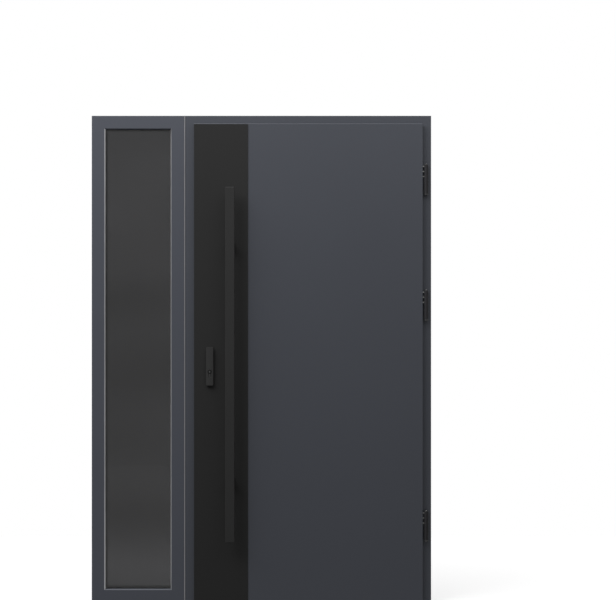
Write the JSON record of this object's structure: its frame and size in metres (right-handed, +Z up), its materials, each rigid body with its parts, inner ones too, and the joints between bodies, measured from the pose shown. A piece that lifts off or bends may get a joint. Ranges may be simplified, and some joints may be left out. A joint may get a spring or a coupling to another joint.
{
  "type": "exterior door with sidelight",
  "caption": "Flush anthracite exterior door with a black lock-side panel, a tall pull bar, barrel hinges and a narrow glazed sidelight coupled to its frame.",
  "frame": {"origin": "on the underside of the threshold, midway between the door jambs and midway through the frame's depth", "axes": "+X towards the hinge side as seen from outdoors, +Y into the building, +Z up"},
  "size_m": [1.45, 0.192, 2.08],
  "materials": {
    "frame_paint": "satin anthracite powder coat",
    "sidelight_paint": "satin anthracite powder coat, a shade lighter",
    "leaf_paint": "satin anthracite powder coat",
    "accent_black": "satin black coat",
    "bead_metal": "satin grey aluminium",
    "coupling_metal": "satin grey aluminium",
    "threshold_metal": "brushed mill finish",
    "seal_rubber": "matt black",
    "tinted_glass": "dark tinted sealed unit",
    "spacer_plastic": "matt black",
    "edge_plastic": "matt",
    "insulation": "rigid foam",
    "handle_black": "satin black coat",
    "cylinder_dark": "black nickel",
    "lever_steel": "satin stainless",
    "lock_steel": "zinc plated",
    "hinge_paint": "satin dark coat"
  },
  "bodies": {
    "frame": {"hinge_jamb": "frame_paint", "lock_jamb": "frame_paint", "frame_head": "frame_paint", "sidelight_left_stile": "sidelight_paint", "sidelight_top_rail": "sidelight_paint", "sidelight_right_stile": "sidelight_paint", "sidelight_bottom_rail": "sidelight_paint", "inner_bead_left": "sidelight_paint", "inner_bead_top": "sidelight_paint", "inner_bead_right": "sidelight_paint", "inner_bead_bottom": "sidelight_paint", "outer_bead_top": "sidelight_paint", "outer_bead_bottom": "sidelight_paint", "outer_bead_left": "bead_metal", "outer_bead_right": "bead_metal", "coupling_strip": "coupling_metal", "threshold": "threshold_metal", "frame_seals": "seal_rubber", "outer_gaskets": "seal_rubber", "inner_gaskets": "seal_rubber", "outer_pane": "tinted_glass", "inner_pane": "tinted_glass", "glass_spacer": "spacer_plastic", "strike_plate": "lock_steel", "upper_hinge_frame_half": "hinge_paint", "middle_hinge_frame_half": "hinge_paint", "lower_hinge_frame_half": "hinge_paint"},
    "leaf": {"leaf_outer_skin": "leaf_paint", "leaf_inner_skin": "leaf_paint", "leaf_core": "insulation", "leaf_edge_strips": "edge_plastic", "leaf_seals": "seal_rubber", "accent_panel": "accent_black", "pull_bar": "handle_black", "pull_post_upper": "handle_black", "pull_post_lower": "handle_black", "outer_escutcheon": "handle_black", "lock_cylinder": "cylinder_dark", "inside_plate": "lever_steel", "inside_lever": "lever_steel", "lock_faceplate": "lock_steel", "lock_bolts": "lock_steel", "upper_hinge_leaf_half": "hinge_paint", "middle_hinge_leaf_half": "hinge_paint", "lower_hinge_leaf_half": "hinge_paint"}
  },
  "joints": [
    {"name": "leaf_swing", "type": "hinge", "parent": "frame", "child": "leaf", "pos_m": [0.5025, -0.0575, 1.04], "axis": [0, 0, 1], "range_deg": [0, 120]}
  ]
}
